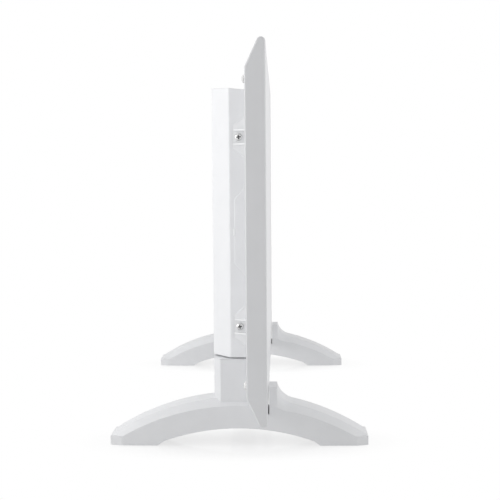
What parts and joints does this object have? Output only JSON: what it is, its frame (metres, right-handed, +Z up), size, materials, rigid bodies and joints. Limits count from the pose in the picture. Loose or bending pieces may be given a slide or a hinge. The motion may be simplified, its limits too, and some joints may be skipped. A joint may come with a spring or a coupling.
{
  "type": "radiant panel heater",
  "caption": "Free-standing flat radiant panel heater with a rear convection duct, arched feet, rocker switches and a thermostat knob.",
  "frame": {"origin": "on the floor, below the middle of the panel's length and of the feet's depth", "axes": "+X along the panel, -Y is the radiating front, +Z up"},
  "size_m": [0.5844, 0.273, 0.4185],
  "materials": {
    "panel_coat": "white powder coat",
    "housing_coat": "white powder coat",
    "foot_plastic": "white moulded",
    "zinc": "zinc plated",
    "fin_metal": "extruded",
    "mica": "mica board",
    "fibre": "fibre board",
    "ceramic": "glazed",
    "dark_plastic": "moulded",
    "grey_plastic": "moulded",
    "rocker_plastic": "moulded",
    "knob_plastic": "moulded",
    "lens": "amber lens",
    "pad_rubber": "matte"
  },
  "bodies": {
    "heater": {"front_panel": "panel_coat", "end_cap_left": "panel_coat", "end_cap_right": "panel_coat", "panel_back_plate": "panel_coat", "back_plate_screws": "zinc", "radiant_element": "mica", "insulation_board": "fibre", "clamp_bars": "zinc", "rear_housing": "housing_coat", "housing_brackets": "housing_coat", "housing_screws": "zinc", "convection_element": "fin_metal", "element_bracket_left": "zinc", "element_bracket_right": "zinc", "ceramic_bushes": "ceramic", "heat_shield": "zinc", "thermal_cutout": "dark_plastic", "control_divider": "zinc", "terminal_block": "dark_plastic", "tilt_switch": "dark_plastic", "cord_gland": "grey_plastic", "gland_nut": "grey_plastic", "control_bezel": "grey_plastic", "power_switch_body": "dark_plastic", "heat_switch_body": "dark_plastic", "pilot_lens": "lens", "thermostat_body": "dark_plastic", "thermostat_nut": "zinc", "foot_left": "foot_plastic", "foot_right": "foot_plastic", "foot_pads": "pad_rubber", "foot_screws": "zinc", "foot_nuts": "zinc"},
    "knob": {"thermostat_knob": "knob_plastic", "thermostat_shaft": "zinc"},
    "power_paddle": {"power_rocker": "rocker_plastic"},
    "heat_paddle": {"heat_rocker": "rocker_plastic"}
  },
  "joints": [
    {"name": "knob_turn", "type": "hinge", "parent": "heater", "child": "knob", "pos_m": [0.184, 0.0096, 0.37499], "axis": [0, -0.0924, 0.9957], "range_deg": [-140, 140]},
    {"name": "power_rock", "type": "hinge", "parent": "heater", "child": "power_paddle", "pos_m": [0.111, 0.00954, 0.37559], "axis": [1, 0, 0], "range_deg": [0, 20]},
    {"name": "heat_rock", "type": "hinge", "parent": "heater", "child": "heat_paddle", "pos_m": [0.133, 0.00954, 0.37559], "axis": [1, 0, 0], "range_deg": [0, 20]}
  ]
}
